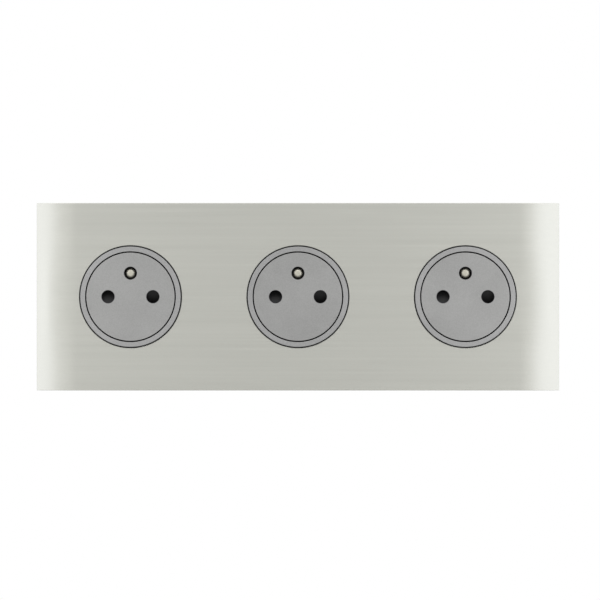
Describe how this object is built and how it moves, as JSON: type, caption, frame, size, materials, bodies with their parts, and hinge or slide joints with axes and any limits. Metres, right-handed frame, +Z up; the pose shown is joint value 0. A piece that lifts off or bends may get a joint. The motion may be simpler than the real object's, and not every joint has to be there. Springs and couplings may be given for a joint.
{
  "type": "triple wall socket",
  "caption": "Flush wall socket set with a bowed brushed-metal plate and round grey socket faces that a plug pushes back into their wells.",
  "frame": {"origin": "centre of the middle wall box, on the plane of the wall", "axes": "+X to the right along the plate, +Y into the wall, +Z up"},
  "size_m": [0.222, 0.0376, 0.0794],
  "materials": {
    "brushed_plate": "satin, brushed along the plate",
    "grey_plastic": "fine matt, titanium grey",
    "carrier_plastic": "moulded, dark grey",
    "dark_plastic": "moulded, near black",
    "zinc_steel": "zinc plated",
    "spring_steel": "drawn spring steel",
    "contact_brass": "rolled strip",
    "terminal_brass": "sawn and tumbled",
    "nickel": "nickel plated brass"
  },
  "bodies": {
    "wall_part": {"cover_plate": "brushed_plate", "plate_carrier": "carrier_plastic", "support_frame": "zinc_steel", "left_trim_ring": "grey_plastic", "left_base": "dark_plastic", "left_contact_block": "dark_plastic", "left_rear_cover": "dark_plastic", "left_return_spring": "spring_steel", "left_earth_pin": "nickel", "left_live_contact": "contact_brass", "left_neutral_contact": "contact_brass", "left_earth_strap": "contact_brass", "left_live_terminal": "terminal_brass", "left_neutral_terminal": "terminal_brass", "left_earth_terminal": "terminal_brass", "left_terminal_screws": "zinc_steel", "middle_trim_ring": "grey_plastic", "middle_base": "dark_plastic", "middle_contact_block": "dark_plastic", "middle_rear_cover": "dark_plastic", "middle_return_spring": "spring_steel", "middle_earth_pin": "nickel", "middle_live_contact": "contact_brass", "middle_neutral_contact": "contact_brass", "middle_earth_strap": "contact_brass", "middle_live_terminal": "terminal_brass", "middle_neutral_terminal": "terminal_brass", "middle_earth_terminal": "terminal_brass", "middle_terminal_screws": "zinc_steel", "right_trim_ring": "grey_plastic", "right_base": "dark_plastic", "right_contact_block": "dark_plastic", "right_rear_cover": "dark_plastic", "right_return_spring": "spring_steel", "right_earth_pin": "nickel", "right_live_contact": "contact_brass", "right_neutral_contact": "contact_brass", "right_earth_strap": "contact_brass", "right_live_terminal": "terminal_brass", "right_neutral_terminal": "terminal_brass", "right_earth_terminal": "terminal_brass", "right_terminal_screws": "zinc_steel"},
    "left_face": {"left_disc": "grey_plastic", "left_disc_back": "dark_plastic", "left_shutter_spring": "spring_steel"},
    "left_shutter": {"left_shutter": "dark_plastic"},
    "middle_face": {"middle_disc": "grey_plastic", "middle_disc_back": "dark_plastic", "middle_shutter_spring": "spring_steel"},
    "middle_shutter": {"middle_shutter": "dark_plastic"},
    "right_face": {"right_disc": "grey_plastic", "right_disc_back": "dark_plastic", "right_shutter_spring": "spring_steel"},
    "right_shutter": {"right_shutter": "dark_plastic"}
  },
  "joints": [
    {"name": "left_face_slide", "type": "slide", "parent": "wall_part", "child": "left_face", "axis": [0, 1, 0], "range_m": [0, 0.015], "stiffness_N_per_m": 400, "springref_m": -0.02, "deforming": ["left_return_spring"]},
    {"name": "left_shutter_turn", "type": "hinge", "parent": "left_face", "child": "left_shutter", "pos_m": [-0.071, -0.00555, 0], "axis": [0, -1, 0], "range_deg": [0, 42], "stiffness_Nm_per_rad": 0.003, "springref_deg": -28.65, "deforming": ["left_shutter_spring"]},
    {"name": "middle_face_slide", "type": "slide", "parent": "wall_part", "child": "middle_face", "axis": [0, 1, 0], "range_m": [0, 0.015], "stiffness_N_per_m": 400, "springref_m": -0.02, "deforming": ["middle_return_spring"]},
    {"name": "middle_shutter_turn", "type": "hinge", "parent": "middle_face", "child": "middle_shutter", "pos_m": [0, -0.00555, 0], "axis": [0, -1, 0], "range_deg": [0, 42], "stiffness_Nm_per_rad": 0.003, "springref_deg": -28.65, "deforming": ["middle_shutter_spring"]},
    {"name": "right_face_slide", "type": "slide", "parent": "wall_part", "child": "right_face", "axis": [0, 1, 0], "range_m": [0, 0.015], "stiffness_N_per_m": 400, "springref_m": -0.02, "deforming": ["right_return_spring"]},
    {"name": "right_shutter_turn", "type": "hinge", "parent": "right_face", "child": "right_shutter", "pos_m": [0.071, -0.00555, 0], "axis": [0, -1, 0], "range_deg": [0, 42], "stiffness_Nm_per_rad": 0.003, "springref_deg": -28.65, "deforming": ["right_shutter_spring"]}
  ]
}
